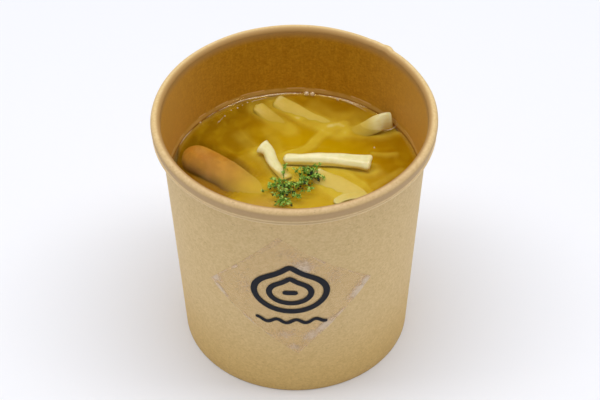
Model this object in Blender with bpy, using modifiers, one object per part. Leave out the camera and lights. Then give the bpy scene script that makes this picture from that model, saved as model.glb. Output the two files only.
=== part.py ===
"""Paper cup of onion soup.

A tapered kraft-paper soup cup with a rolled rim, a recessed base and a clear square film label,
filled with broth. A short sausage, strips of cooked onion and a heap of dried parsley lie in it.

Metres, +Z up. The origin is the centre of the foot ring, on the surface the cup stands on.
The front of the cup, with the label, faces -Y.
"""

import math
import random

import bmesh
import bpy
from mathutils import Matrix, Vector
from mathutils.bvhtree import BVHTree

MM = 0.001

# Paper cup
CUP_HEIGHT = 95.2 * MM
RIM_RADIUS = 49.0 * MM          # outside of the rolled rim
RIM_DEPTH = 5.8 * MM            # height of the flattened roll
WALL_TOP_RADIUS = 45.75 * MM    # outside of the wall, just under the roll
FOOT_RADIUS = 39.85 * MM        # outside of the wall, at the foot
PAPER = 0.45 * MM
GAP = 0.3 * MM                  # between pieces that touch
BASE_HEIGHT = 8.0 * MM          # underside of the recessed base
HEM_HEIGHT = 7.0 * MM           # the wall's lower edge, folded up inside the base's flange
LAP_WIDTH = 8.0 * MM            # the side seam, where the wall overlaps itself
LAP_PROUD = 0.35 * MM
LAP_AZIMUTH = math.radians(50.0)
ROUND_STEPS = 72

# Clear film label: a square standing on its corner
LABEL_SIDES = (41.4 * MM, 43.3 * MM)
LABEL_THICKNESS = 0.15 * MM
LABEL_TILT = math.radians(4.6)
LABEL_AZIMUTH = math.radians(-93.2)
LABEL_HEIGHT = 50.5 * MM
LABEL_SEGMENTS = 8

# Broth
SOUP_LEVEL = 67.0 * MM
MENISCUS_RISE = 1.7 * MM        # how far the broth climbs the wall
MENISCUS_REACH = 1.2 * MM       # how fast that climb dies away from the wall

# Sausage: a blunt rod whose left end breaks the surface
SAUSAGE_RADIUS = 5.6 * MM
SAUSAGE_BLUNT = 1.4             # length of each rounded end, in radii
SAUSAGE_ROUTE = ((-39.7, 16.2, 62.2), (-28.0, 9.4, 61.6), (-16.8, -1.0, 60.4), (-6.0, -11.8, 59.0))

# Parsley heap
HEAP_CENTRE = (-0.6 * MM, -7.2 * MM)
HEAP_AZIMUTH = math.radians(42.0)
HEAP_LENGTH = 18.0 * MM
HEAP_WIDTH = 8.6 * MM
HEAP_HEIGHT = 1.3 * MM
FLAKE_COUNT = 64
FLAKE_SPREAD = 1.22             # how far from the middle flakes lie, in core radii
FLAKE_LENGTH = (1.9 * MM, 3.4 * MM)
FLAKE_WIDTH = (0.8 * MM, 1.4 * MM)
FLAKE_THICKNESS = 0.3 * MM
FLAKE_SEED = 7

# Onion strips that reach the surface. Each follows a route of points (x, y, z in mm). Width and
# roll run linearly between the values given along the route: width in mm, and roll in degrees,
# which turns the strip about its own length, lifting its left edge as seen along the route.
ONIONS = {
    "onion_strip_front": dict(
        route=((-3.8, 8.0, 67.0), (4.0, 7.7, 67.1), (14.6, 7.2, 67.4), (26.6, 4.6, 68.2)),
        width=(4.0, 4.6, 5.0, 5.6), roll=(38, 38, 28, 14), thickness=1.8, crown=0.8),
    "onion_curl": dict(
        route=((-11.8, 14.0, 68.2), (-9.2, 11.2, 68.0), (-7.4, 6.4, 67.1), (-2.4, -1.0, 65.9)),
        width=(5.4, 4.2, 4.0, 4.6), roll=(24, 0, -16, -14), thickness=1.6, crown=0.8),
    "onion_petal_near": dict(
        route=((6.8, 2.0, 66.2), (13.2, -4.0, 64.8), (20.2, -10.6, 64.0), (26.4, -16.4, 63.2)),
        width=(5.0, 9.6, 11.0, 9.0), roll=(16, 22, 24, 20), thickness=1.8, crown=0.5),
    "onion_petal_right": dict(
        route=((34.4, 25.4, 69.4), (30.4, 24.4, 69.3), (25.0, 24.4, 66.0), (19.6, 24.6, 63.0)),
        width=(7.0, 6.4, 5.8, 4.8), roll=(-82, -76, -50, -30), thickness=1.7, crown=0.9),
    "onion_petal_far": dict(
        route=((-6.6, 40.8, 66.2), (0.2, 35.4, 65.0), (8.2, 29.6, 64.2), (15.6, 24.8, 63.6)),
        width=(5.4, 6.2, 6.8, 7.0), roll=(12, 18, 18, 14), thickness=1.6, crown=0.5),
    "onion_tip_left": dict(
        route=((-13.6, 37.6, 66.3), (-7.6, 31.8, 64.6), (-1.8, 26.0, 63.4)),
        width=(4.8, 5.4, 5.0), roll=(8, 12, 12), thickness=1.6, crown=0.5),
}
ONION_ALONG = 8
ONION_ACROSS = 3
ONION_EDGE = 0.45 * MM


# ---------------------------------------------------------------- helpers

def clear_scene():
    for obj in list(bpy.data.objects):
        bpy.data.objects.remove(obj, do_unlink=True)


def new_collection(name):
    group = bpy.data.collections.new(name)
    bpy.context.scene.collection.children.link(group)
    return group


def new_material(name, colour, roughness, metallic=0.0):
    mat = bpy.data.materials.new(name)
    mat.use_nodes = True
    shader = mat.node_tree.nodes["Principled BSDF"]
    shader.inputs["Base Color"].default_value = (*colour, 1.0)
    shader.inputs["Roughness"].default_value = roughness
    shader.inputs["Metallic"].default_value = metallic
    return mat


def new_object(name, bm, group):
    """An object named name, made of the bmesh bm, in the collection group."""
    mesh = bpy.data.meshes.new(name)
    bm.to_mesh(mesh)
    bm.free()
    obj = bpy.data.objects.new(name, mesh)
    group.objects.link(obj)
    return obj


def finish_part(obj, mat, sharp_angle=math.radians(35.0)):
    obj.data.materials.append(mat)
    obj.data.shade_smooth()
    obj.data.set_sharp_from_angle(angle=sharp_angle)


def mark_as_cutter(obj):
    obj.hide_render = True
    obj.display_type = "WIRE"


def evaluated_mesh(obj):
    """The mesh of obj with its modifiers applied, as new mesh data."""
    depsgraph = bpy.context.evaluated_depsgraph_get()
    return bpy.data.meshes.new_from_object(obj.evaluated_get(depsgraph), depsgraph=depsgraph)


def apply_modifiers(obj):
    mesh = evaluated_mesh(obj)
    obj.modifiers.clear()
    obj.data = mesh


def keep_largest_body(mesh):
    """Drops scraps that a Boolean left loose, and fills hollows that it sealed."""
    bm = bmesh.new()
    bm.from_mesh(mesh)
    unseen = set(bm.faces)
    bodies = []
    while unseen:
        body = {unseen.pop()}
        front = list(body)
        while front:
            for edge in front.pop().edges:
                for face in edge.link_faces:
                    if face in unseen:
                        unseen.discard(face)
                        body.add(face)
                        front.append(face)
        bodies.append(body)
    largest = max(bodies, key=len)
    spare = [face for body in bodies if body is not largest for face in body]
    bmesh.ops.delete(bm, geom=spare, context="FACES")
    bm.to_mesh(mesh)
    bm.free()


def turned(name, outline, group):
    """A closed outline of (radius, height) points turned about the Z axis."""
    bm = bmesh.new()
    verts = [bm.verts.new((radius, 0.0, height)) for radius, height in outline]
    for a, b in zip(verts, verts[1:]):
        bm.edges.new((a, b))
    if min(radius for radius, height in outline) > 0.0:
        bm.edges.new((verts[-1], verts[0]))
    obj = new_object(name, bm, group)
    screw = obj.modifiers.new("Turn", "SCREW")
    screw.axis = "Z"
    screw.steps = ROUND_STEPS
    screw.render_steps = ROUND_STEPS
    screw.use_merge_vertices = True
    screw.merge_threshold = 0.00001
    return obj


def arc(centre, radius, start, end, count):
    """Points on an arc in the (radius, height) plane, angles in degrees."""
    points = []
    for i in range(count + 1):
        angle = math.radians(start + (end - start) * i / count)
        points.append((centre[0] + radius * math.cos(angle), centre[1] + radius * math.sin(angle)))
    return points


def along(values, t):
    """The value at t, from 0 to 1, read linearly from evenly spaced values."""
    place = min(max(t, 0.0), 1.0) * (len(values) - 1)
    i = min(int(place), len(values) - 2)
    return values[i] + (values[i + 1] - values[i]) * (place - i)


def on_route(points, t):
    """A point on the smooth curve through points, at t from 0 to 1 and straight on past them."""
    if t < 0.0:
        return on_route(points, 0.0) + (on_route(points, 0.01) - on_route(points, 0.0)) * (t / 0.01)
    if t > 1.0:
        return on_route(points, 1.0) + (on_route(points, 1.0) - on_route(points, 0.99)) * ((t - 1.0) / 0.01)
    place = t * (len(points) - 1)
    i = min(int(place), len(points) - 2)
    u = place - i
    p1, p2 = points[i], points[i + 1]
    p0 = points[i - 1] if i > 0 else p1 * 2.0 - p2
    p3 = points[i + 2] if i + 2 < len(points) else p2 * 2.0 - p1
    return 0.5 * (2.0 * p1 + (p2 - p0) * u + (2.0 * p0 - 5.0 * p1 + 4.0 * p2 - p3) * u * u
                  + (3.0 * p1 - 3.0 * p2 + p3 - p0) * u ** 3)


# ---------------------------------------------------------------- paper cup

def wall_radius(height):
    """Outside radius of the tapered wall at a height."""
    slope = (WALL_TOP_RADIUS - FOOT_RADIUS) / (CUP_HEIGHT - RIM_DEPTH)
    return FOOT_RADIUS + slope * height


def inner_radius(height):
    return wall_radius(height) - PAPER


def rim_outline():
    """The flattened roll, from the inside of the wall over the crest and back to the wall."""
    crest_radius = (RIM_RADIUS - inner_radius(CUP_HEIGHT)) / 2.0
    crest_centre = (RIM_RADIUS - crest_radius, CUP_HEIGHT - crest_radius)
    lip_radius = 0.9 * MM
    lip_inset = 0.25 * MM
    lip_centre = (RIM_RADIUS - lip_inset - lip_radius, CUP_HEIGHT - RIM_DEPTH + lip_radius)
    tuck_height = CUP_HEIGHT - RIM_DEPTH + 0.5 * MM
    over = arc(crest_centre, crest_radius, 180.0, 0.0, 10)
    under = arc(lip_centre, lip_radius, 0.0, -90.0, 3)
    return over + under + [(wall_radius(tuck_height), tuck_height)]


def foot_outline():
    """The wall's foot, folded in and up round the slot that holds the base's flange."""
    fold = 0.45 * MM
    hem = 2.0 * PAPER + 2.0 * GAP
    return [
        (wall_radius(fold), fold),
        (wall_radius(0.0) - 0.3 * fold, 0.3 * fold),
        (wall_radius(0.0) - fold, 0.0),
        (wall_radius(0.0) - hem - PAPER + fold, 0.0),
        (wall_radius(fold) - hem - PAPER, fold),
        (wall_radius(HEM_HEIGHT) - hem - PAPER, HEM_HEIGHT),
        (wall_radius(HEM_HEIGHT) - hem, HEM_HEIGHT),
        (wall_radius(PAPER) - hem, PAPER),
        (inner_radius(PAPER), PAPER),
    ]


def wrapped_sheet(name, group, width, height, tilt, azimuth, middle, offset, segments):
    """A thin flat sheet bent round the wall. offset is its distance from the wall's outside."""
    bm = bmesh.new()
    bmesh.ops.create_grid(bm, x_segments=segments[0], y_segments=segments[1], size=0.5)
    turn = Matrix.Rotation(tilt, 3, "Z")
    for vert in bm.verts:
        flat = turn @ Vector((vert.co.x * width, vert.co.y * height, 0.0))
        z = middle + flat.y
        radius = wall_radius(z) + offset
        angle = azimuth + flat.x / wall_radius(middle)
        vert.co = (radius * math.cos(angle), radius * math.sin(angle), z)
    return new_object(name, bm, group)


def make_side_lap(cutters):
    """The strip where the wall overlaps itself, rooted inside the wall's paper."""
    top = CUP_HEIGHT - RIM_DEPTH - 0.5 * MM
    bottom = 1.0 * MM
    root = 0.22 * MM
    lap = wrapped_sheet("side_lap", cutters, LAP_WIDTH, top - bottom, 0.0, LAP_AZIMUTH,
                        (top + bottom) / 2.0, -root, (3, 1))
    solid = lap.modifiers.new("Thickness", "SOLIDIFY")
    solid.thickness = root + LAP_PROUD
    solid.offset = 1.0
    mark_as_cutter(lap)
    return lap


def make_cup_wall(group, cutters, mat):
    wall = turned("cup_wall", rim_outline() + foot_outline(), group)
    join = wall.modifiers.new("Side lap", "BOOLEAN")
    join.operation = "UNION"
    join.object = make_side_lap(cutters)
    finish_part(wall, mat)
    return wall


def make_cup_base(group, mat):
    """The recessed base, an upturned pan whose flange stands in the wall's folded foot."""
    flange_out = PAPER + GAP
    flange_in = 2.0 * PAPER + GAP
    flange_foot = PAPER + GAP
    top = BASE_HEIGHT + PAPER
    base = turned("cup_base", [
        (0.0, top),
        (wall_radius(top) - flange_out, top),
        (wall_radius(flange_foot) - flange_out, flange_foot),
        (wall_radius(flange_foot) - flange_in, flange_foot),
        (wall_radius(BASE_HEIGHT) - flange_in, BASE_HEIGHT),
        (0.0, BASE_HEIGHT),
    ], group)
    finish_part(base, mat)
    return base


def make_label(group, mat):
    label = wrapped_sheet("label_film", group, *LABEL_SIDES, LABEL_TILT + math.pi / 4.0,
                          LABEL_AZIMUTH, LABEL_HEIGHT, GAP, (LABEL_SEGMENTS, LABEL_SEGMENTS))
    solid = label.modifiers.new("Thickness", "SOLIDIFY")
    solid.thickness = LABEL_THICKNESS
    solid.offset = 1.0
    finish_part(label, mat)
    return label


# ---------------------------------------------------------------- food

def make_sausage(name, group, grow=0.0):
    """A bent rod with blunt rounded ends. grow makes it fatter and longer all round."""
    route = [Vector(point) * MM for point in SAUSAGE_ROUTE]
    length = sum((b - a).length for a, b in zip(route, route[1:]))
    blunt = SAUSAGE_RADIUS * SAUSAGE_BLUNT
    rings = 7
    places = []
    for i in range(rings):
        angle = math.pi / 2.0 * i / rings
        places.append((blunt * (1.0 - math.cos(angle)), max(math.sin(angle), 0.12)))
    body = 9
    for i in range(body + 1):
        places.append((blunt + (length - 2.0 * blunt) * i / body, 1.0))
    places += [(length - place, size) for place, size in reversed(places[:rings])]
    curve = bpy.data.curves.new(name, "CURVE")
    curve.dimensions = "3D"
    curve.bevel_depth = SAUSAGE_RADIUS + grow
    curve.bevel_resolution = 4
    curve.use_fill_caps = True
    spline = curve.splines.new("POLY")
    spline.points.add(len(places) - 1)
    for point, (place, size) in zip(spline.points, places):
        stretch = (place / length - 0.5) * (length + 2.0 * grow) / length + 0.5
        point.co = (*on_route(route, stretch), 1.0)
        point.radius = size
    obj = bpy.data.objects.new(name, curve)
    group.objects.link(obj)
    mesh = evaluated_mesh(obj)
    bpy.data.objects.remove(obj)
    bm = bmesh.new()
    bm.from_mesh(mesh)
    bmesh.ops.remove_doubles(bm, verts=bm.verts, dist=0.00001)
    bmesh.ops.recalc_face_normals(bm, faces=bm.faces)
    return new_object(name, bm, group)


def make_onion(name, group, shape, grow=0.0):
    """A bent strip of onion, crowned across. grow makes it bigger all round, with plain edges."""
    route = [Vector(point) * MM for point in shape["route"]]
    length = sum((b - a).length for a, b in zip(route, route[1:]))
    extra = grow / length
    bm = bmesh.new()
    bmesh.ops.create_grid(bm, x_segments=ONION_ALONG, y_segments=ONION_ACROSS, size=0.5)
    for vert in bm.verts:
        t = (vert.co.x + 0.5) * (1.0 + 2.0 * extra) - extra
        across = vert.co.y * 2.0
        ahead = (on_route(route, t + 0.01) - on_route(route, t - 0.01)).normalized()
        side = Vector((0.0, 0.0, 1.0)).cross(ahead).normalized()
        side = Matrix.Rotation(math.radians(along(shape["roll"], t)), 3, ahead) @ side
        normal = ahead.cross(side)
        half = along(shape["width"], t) * MM / 2.0 + grow
        arch = shape["crown"] * MM * (0.5 - across * across)
        vert.co = on_route(route, t) + side * (across * half) + normal * arch
    obj = new_object(name, bm, group)
    solid = obj.modifiers.new("Thickness", "SOLIDIFY")
    solid.thickness = shape["thickness"] * MM + 2.0 * grow
    solid.offset = 0.0
    if grow == 0.0:
        edge = obj.modifiers.new("Edges", "BEVEL")
        edge.width = ONION_EDGE
        edge.segments = 1
        edge.limit_method = "ANGLE"
        edge.angle_limit = math.radians(50.0)
    return obj


def broth_outline():
    """Top from the middle out, up the meniscus, down beside the wall and back along the base."""
    edge = inner_radius(SOUP_LEVEL) - GAP
    floor = BASE_HEIGHT + PAPER + GAP
    outline = [(0.0, SOUP_LEVEL)]
    for reach in (3.6, 1.8, 1.0, 0.45, 0.0):
        rise = MENISCUS_RISE * math.exp(-reach * MM / MENISCUS_REACH) if reach < 3.6 else 0.0
        outline.append((edge - reach * MM, SOUP_LEVEL + rise))
    return outline + [(inner_radius(floor) - GAP, floor), (0.0, floor)]


def make_broth(group, cutters, mat):
    """The broth, with a pocket round every piece that reaches its surface."""
    broth = turned("broth", broth_outline(), group)
    mark_as_cutter(make_sausage("sausage_pocket", cutters, GAP))
    for name, shape in ONIONS.items():
        mark_as_cutter(make_onion(name + "_pocket", cutters, shape, GAP))
    cut = broth.modifiers.new("Pockets", "BOOLEAN")
    cut.operation = "DIFFERENCE"
    cut.operand_type = "COLLECTION"
    cut.collection = cutters
    finish_part(broth, mat)
    return broth


# ---------------------------------------------------------------- parsley

def heap_point(u, v):
    """A place in the heap: u along it and v across it, each from -1 to 1."""
    axis = Vector((math.cos(HEAP_AZIMUTH), math.sin(HEAP_AZIMUTH), 0.0))
    side = Vector((-axis.y, axis.x, 0.0))
    bottom = Vector((*HEAP_CENTRE, SOUP_LEVEL + GAP))
    return bottom + axis * (u * HEAP_LENGTH / 2.0) + side * (v * HEAP_WIDTH / 2.0)


def heap_height(u, v):
    return HEAP_HEIGHT * math.sqrt(max(1.0 - u * u - v * v, 0.0))


def make_heap_core(name, group):
    """The low mound under the flakes, flat below."""
    bm = bmesh.new()
    bmesh.ops.create_uvsphere(bm, u_segments=16, v_segments=8, radius=1.0)
    low = [vert for vert in bm.verts if vert.co.z < -0.01]
    bmesh.ops.delete(bm, geom=low, context="VERTS")
    rim = [edge for edge in bm.edges if edge.is_boundary]
    bmesh.ops.contextual_create(bm, geom=rim)
    for vert in bm.verts:
        z = vert.co.z
        spot = heap_point(vert.co.x, vert.co.y)
        vert.co = (spot.x, spot.y, spot.z + z * HEAP_HEIGHT)
    bmesh.ops.recalc_face_normals(bm, faces=bm.faces)
    return new_object(name, bm, group)


def flake_mesh(draw, spot, lean):
    """One dried flake: a short curled strip of leaf, standing or lying at spot."""
    length = draw.uniform(*FLAKE_LENGTH)
    width = draw.uniform(*FLAKE_WIDTH)
    curl = draw.uniform(0.5, 1.6)
    bm = bmesh.new()
    bmesh.ops.create_grid(bm, x_segments=2, y_segments=1, size=0.5)
    bottom = bm.verts[:]
    for vert in bottom:
        angle = vert.co.x * curl
        vert.co = (math.sin(angle) * length / curl, vert.co.y * width * (1.0 - 0.5 * abs(vert.co.x)),
                   -(1.0 - math.cos(angle)) * length / curl)
    raised = bmesh.ops.extrude_face_region(bm, geom=bm.faces[:])["geom"]
    for item in raised:
        if isinstance(item, bmesh.types.BMVert):
            item.co.z += FLAKE_THICKNESS
    bmesh.ops.recalc_face_normals(bm, faces=bm.faces)
    turn = Matrix.Rotation(draw.uniform(0.0, 2.0 * math.pi), 4, "Z") @ Matrix.Rotation(lean, 4, "Y")
    bmesh.ops.transform(bm, matrix=Matrix.Translation(spot) @ turn, verts=bm.verts)
    return bm


def lift_off_broth(bm):
    """Raises a flake that would dip below the heap's flat underside."""
    dip = SOUP_LEVEL + 1.2 * GAP - min(vert.co.z for vert in bm.verts)
    if dip > 0.0:
        bmesh.ops.translate(bm, verts=bm.verts, vec=(0.0, 0.0, dip))


def crosses(bm, neighbours):
    """Whether the bmesh touches one of the neighbours' trees."""
    tree = BVHTree.FromBMesh(bm)
    return any(tree.overlap(other) for other in neighbours)


def make_parsley(group, scraps, mat, neighbours):
    """The heap: the mound with curled flakes fused on. Flakes that would cross a strip are skipped."""
    draw = random.Random(FLAKE_SEED)
    heap = make_heap_core("parsley_heap", group)
    placed = 0
    for _ in range(FLAKE_COUNT * 4):
        if placed == FLAKE_COUNT:
            break
        reach = FLAKE_SPREAD * math.sqrt(draw.random())
        angle = draw.uniform(0.0, 2.0 * math.pi)
        u, v = reach * math.cos(angle), reach * math.sin(angle)
        spot = heap_point(u, v)
        spot.z += heap_height(u, v) + draw.uniform(-0.1, 0.35) * MM
        bm = flake_mesh(draw, spot, draw.uniform(-0.9, 0.9))
        lift_off_broth(bm)
        if crosses(bm, neighbours):
            bm.free()
            continue
        new_object(f"flake_{placed:02d}", bm, scraps)
        placed += 1
    join = heap.modifiers.new("Flakes", "BOOLEAN")
    join.operation = "UNION"
    join.operand_type = "COLLECTION"
    join.collection = scraps
    apply_modifiers(heap)
    keep_largest_body(heap.data)
    for flake in list(scraps.objects):
        bpy.data.objects.remove(flake)
    finish_part(heap, mat)
    return heap


def grown_tree(name, cutters):
    """A search tree of a strip's pocket, which is the strip grown by the gap."""
    obj = cutters.objects[name + "_pocket"]
    mesh = evaluated_mesh(obj)
    bm = bmesh.new()
    bm.from_mesh(mesh)
    bmesh.ops.transform(bm, matrix=obj.matrix_world, verts=bm.verts)
    tree = BVHTree.FromBMesh(bm)
    bm.free()
    bpy.data.meshes.remove(mesh)
    return tree


# ---------------------------------------------------------------- the whole

def main():
    clear_scene()
    parts = new_collection("onion_soup_cup")
    laps = new_collection("wall_joins")
    pockets = new_collection("broth_cutters")
    flakes = new_collection("parsley_flakes")

    kraft = new_material("kraft_paper", (0.50, 0.36, 0.20), 0.75)
    base_paper = new_material("base_paper", (0.46, 0.33, 0.18), 0.75)
    film = new_material("clear_film", (0.75, 0.68, 0.55), 0.25)
    golden = new_material("broth", (0.42, 0.26, 0.03), 0.08)
    meat = new_material("sausage", (0.46, 0.24, 0.09), 0.35)
    onion = new_material("onion", (0.78, 0.72, 0.42), 0.35)
    herb = new_material("parsley", (0.13, 0.28, 0.06), 0.7)

    make_cup_wall(parts, laps, kraft)
    make_cup_base(parts, base_paper)
    make_label(parts, film)
    make_broth(parts, pockets, golden)
    finish_part(make_sausage("sausage", parts), meat)
    for name, shape in ONIONS.items():
        finish_part(make_onion(name, parts, shape), onion)
    trees = [grown_tree(name, pockets) for name in ONIONS]
    make_parsley(parts, flakes, herb, trees)


main()
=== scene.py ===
"""Looks of the paper cup of onion soup.

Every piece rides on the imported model's one body. Lengths are in metres, in the model's own frame:
+Z up, origin in the middle of the foot ring, the label towards -Y.
"""

import math
import random

import bmesh
import bpy
from mathutils import Matrix, Vector, noise
from mathutils.bvhtree import BVHTree


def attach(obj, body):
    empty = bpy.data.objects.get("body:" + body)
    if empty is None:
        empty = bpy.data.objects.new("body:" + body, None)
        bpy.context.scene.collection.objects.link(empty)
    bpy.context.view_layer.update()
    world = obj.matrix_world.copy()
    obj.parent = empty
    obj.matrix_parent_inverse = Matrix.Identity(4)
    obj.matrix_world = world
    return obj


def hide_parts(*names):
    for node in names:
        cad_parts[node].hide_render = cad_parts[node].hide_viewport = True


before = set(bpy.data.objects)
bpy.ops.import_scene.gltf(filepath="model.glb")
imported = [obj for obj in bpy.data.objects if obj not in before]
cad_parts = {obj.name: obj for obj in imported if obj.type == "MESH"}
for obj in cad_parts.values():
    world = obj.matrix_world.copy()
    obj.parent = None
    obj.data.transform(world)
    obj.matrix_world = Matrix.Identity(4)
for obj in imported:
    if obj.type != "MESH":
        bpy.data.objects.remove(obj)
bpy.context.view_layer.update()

MM = 0.001
BODY = "root"
UP = Vector((0.0, 0.0, 1.0))

# Paper cup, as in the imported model
CUP_HEIGHT = 95.2 * MM
RIM_RADIUS = 49.0 * MM
RIM_DEPTH = 5.8 * MM
ROLL_FOOT = CUP_HEIGHT - RIM_DEPTH      # height at which the rolled rim begins
WALL_TOP_RADIUS = 45.75 * MM
FOOT_RADIUS = 39.85 * MM
WALL_SLOPE = (WALL_TOP_RADIUS - FOOT_RADIUS) / ROLL_FOOT
PAPER = 0.45 * MM
GAP = 0.3 * MM
HEM_HEIGHT = 7.0 * MM
LAP_AZIMUTH = math.radians(50.0)
LAP_HALF_WIDTH = 4.0 * MM
LAP_PROUD = 0.35 * MM
KNOB_AZIMUTH = math.radians(46.6)       # where the roll's own joint makes a small knob
KNOB = 0.32 * MM                        # how far it stands out
KNOB_AT_LAP = 0.14 * MM                 # how far the roll stands out over the wall's lap
WAVER = 0.10 * MM                       # how far the roll strays from a true circle
WALL_STEPS = 320


def wall_radius(height):
    """Outer radius of the cup's wall."""
    return FOOT_RADIUS + WALL_SLOPE * height


def inner_radius(height):
    return wall_radius(height) - PAPER


# Broth
SOUP_LEVEL = 67.0 * MM
BRIM = inner_radius(SOUP_LEVEL)         # radius at which the broth meets the wall
MENISCUS_RISE = 1.7 * MM
MENISCUS_REACH = 1.2 * MM
PIECE_RISE = 0.5 * MM                   # how far the broth climbs a piece that stands out of it
PIECE_REACH = 1.0 * MM
MURK_DEPTH = 2.5 * MM                   # how far down the clouded broth turns opaque
MURK_DEPTH_AT_WALL = 0.35 * MM
MURK_DEPTH_AT_SAUSAGE = 6.6 * MM
MURK_DEPTH_AT_ONION = 1.5 * MM
MURK_FLOOR = 9.0 * MM
FADE_DEPTH = 1.5 * MM                   # depth over which sunk onion fades to 1/e of its own colour
CLEAR_DEPTH = 8.5 * MM                  # underside of the clear layer, within the clouded one


# ---------------------------------------------------------------- mesh helpers

def mesh_object(name, verts, faces, mat):
    mesh = bpy.data.meshes.new(name)
    mesh.from_pydata(verts, [], faces)
    mesh.validate()
    mesh.shade_smooth()
    mesh.materials.append(mat)
    obj = bpy.data.objects.new(name, mesh)
    bpy.context.scene.collection.objects.link(obj)
    return obj


def outward(obj):
    """Turns every face of a closed mesh outwards."""
    bm = bmesh.new()
    bm.from_mesh(obj.data)
    bmesh.ops.recalc_face_normals(bm, faces=bm.faces)
    bm.to_mesh(obj.data)
    bm.free()
    return obj


def keep_values(obj, **values):
    """Numbers held at the vertices, which the material reads back by name."""
    for name, numbers in values.items():
        held = obj.data.attributes.new(name, "FLOAT", "POINT")
        held.data.foreach_set("value", numbers)


def place(obj, slot, *nodes, sharp=None):
    """The piece rides on the model's body and stands for the nodes given; the slot it is handed is not used.

    Edges that turn by more than sharp degrees are shaded sharp.
    """
    if sharp:
        obj.data.set_sharp_from_angle(angle=math.radians(sharp))
    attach(obj, BODY)
    if nodes:
        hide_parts(*nodes)
    return obj


def circle(count):
    """Cosine and sine of evenly spaced angles."""
    angles = [2.0 * math.pi * i / count for i in range(count)]
    return [(math.cos(angle), math.sin(angle)) for angle in angles]


def loft(rings, verts, faces):
    """Adds a closed tube through equal rings, each end closed by a fan round its middle."""
    start, count = len(verts), len(rings[0])
    last = start + count * (len(rings) - 1)
    for ring in rings:
        verts.extend(ring)
    for a in range(start, last, count):
        for j in range(count):
            k = (j + 1) % count
            faces.append((a + j, a + k, a + count + k, a + count + j))
    for first, ring, turned in ((start, rings[0], True), (last, rings[-1], False)):
        hub = len(verts)
        verts.append(sum((Vector(point) for point in ring), Vector()) / count)
        for j in range(count):
            face = (first + j, first + (j + 1) % count, hub)
            faces.append(face[::-1] if turned else face)


def stack_faces(steps, count):
    """Faces of a round body: a top middle, then count rings of steps points, then a bottom middle."""
    faces = []
    last = 1 + (count - 1) * steps
    for i in range(steps):
        k = (i + 1) % steps
        faces.append((0, 1 + i, 1 + k))
        for a in range(1, last, steps):
            faces.append((a + i, a + steps + i, a + steps + k, a + k))
        faces.append((last + i, last + steps, last + k))
    return faces


def routed(points):
    return [Vector(point) * MM for point in points]


def on_route(points, t):
    """A point on the smooth curve through points, at t from 0 to 1 and straight on past them."""
    if t < 0.0:
        return on_route(points, 0.0) + (on_route(points, 0.01) - on_route(points, 0.0)) * (t / 0.01)
    if t > 1.0:
        last = on_route(points, 1.0)
        return last + (last - on_route(points, 0.99)) * ((t - 1.0) / 0.01)
    spot = t * (len(points) - 1)
    i = min(int(spot), len(points) - 2)
    u = spot - i
    p1, p2 = points[i], points[i + 1]
    p0 = points[i - 1] if i > 0 else p1 * 2.0 - p2
    p3 = points[i + 2] if i + 2 < len(points) else p2 * 2.0 - p1
    return 0.5 * (2.0 * p1 + (p2 - p0) * u + (2.0 * p0 - 5.0 * p1 + 4.0 * p2 - p3) * u * u
                  + (3.0 * p1 - 3.0 * p2 + p3 - p0) * u ** 3)


def heading(route, t):
    """The route's point at t, the way ahead from it, and the level direction to the left."""
    ahead = (on_route(route, t + 0.01) - on_route(route, t - 0.01)).normalized()
    return on_route(route, t), ahead, UP.cross(ahead).normalized()


def length_of(route):
    return sum((b - a).length for a, b in zip(route, route[1:]))


def sampled(route):
    """Evenly spaced points on the smooth curve through a route's points."""
    return [on_route(route, i / 24.0) for i in range(25)]


def nearest_on(points, x, y):
    """Distance in plan from (x, y) to the nearest of a route's points, and where that is from 0 to 1."""
    reach, i = min((math.hypot(x - point.x, y - point.y), i) for i, point in enumerate(points))
    return reach, i / (len(points) - 1)


def along(values, t):
    """The value at t, from 0 to 1, read linearly from evenly spaced values."""
    spot = min(max(t, 0.0), 1.0) * (len(values) - 1)
    i = min(int(spot), len(values) - 2)
    return values[i] + (values[i + 1] - values[i]) * (spot - i)


def smooth(low, high, value):
    t = min(max((value - low) / (high - low), 0.0), 1.0)
    return t * t * (3.0 - 2.0 * t)


def around(angle, other):
    """The signed angle from other to angle, between -pi and pi."""
    return (angle - other + math.pi) % (2.0 * math.pi) - math.pi


# ---------------------------------------------------------------- material helpers

class Value:
    """An output in a material's node tree, on which plain arithmetic works."""

    def __init__(self, nodes, socket):
        self.nodes, self.socket = nodes, socket

    def __add__(self, other):
        return self.nodes.math("ADD", self, other)

    def __sub__(self, other):
        return self.nodes.math("SUBTRACT", self, other)

    def __rsub__(self, other):
        return self.nodes.math("SUBTRACT", other, self)

    def __mul__(self, other):
        return self.nodes.math("MULTIPLY", self, other)

    __radd__ = __add__
    __rmul__ = __mul__


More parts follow.
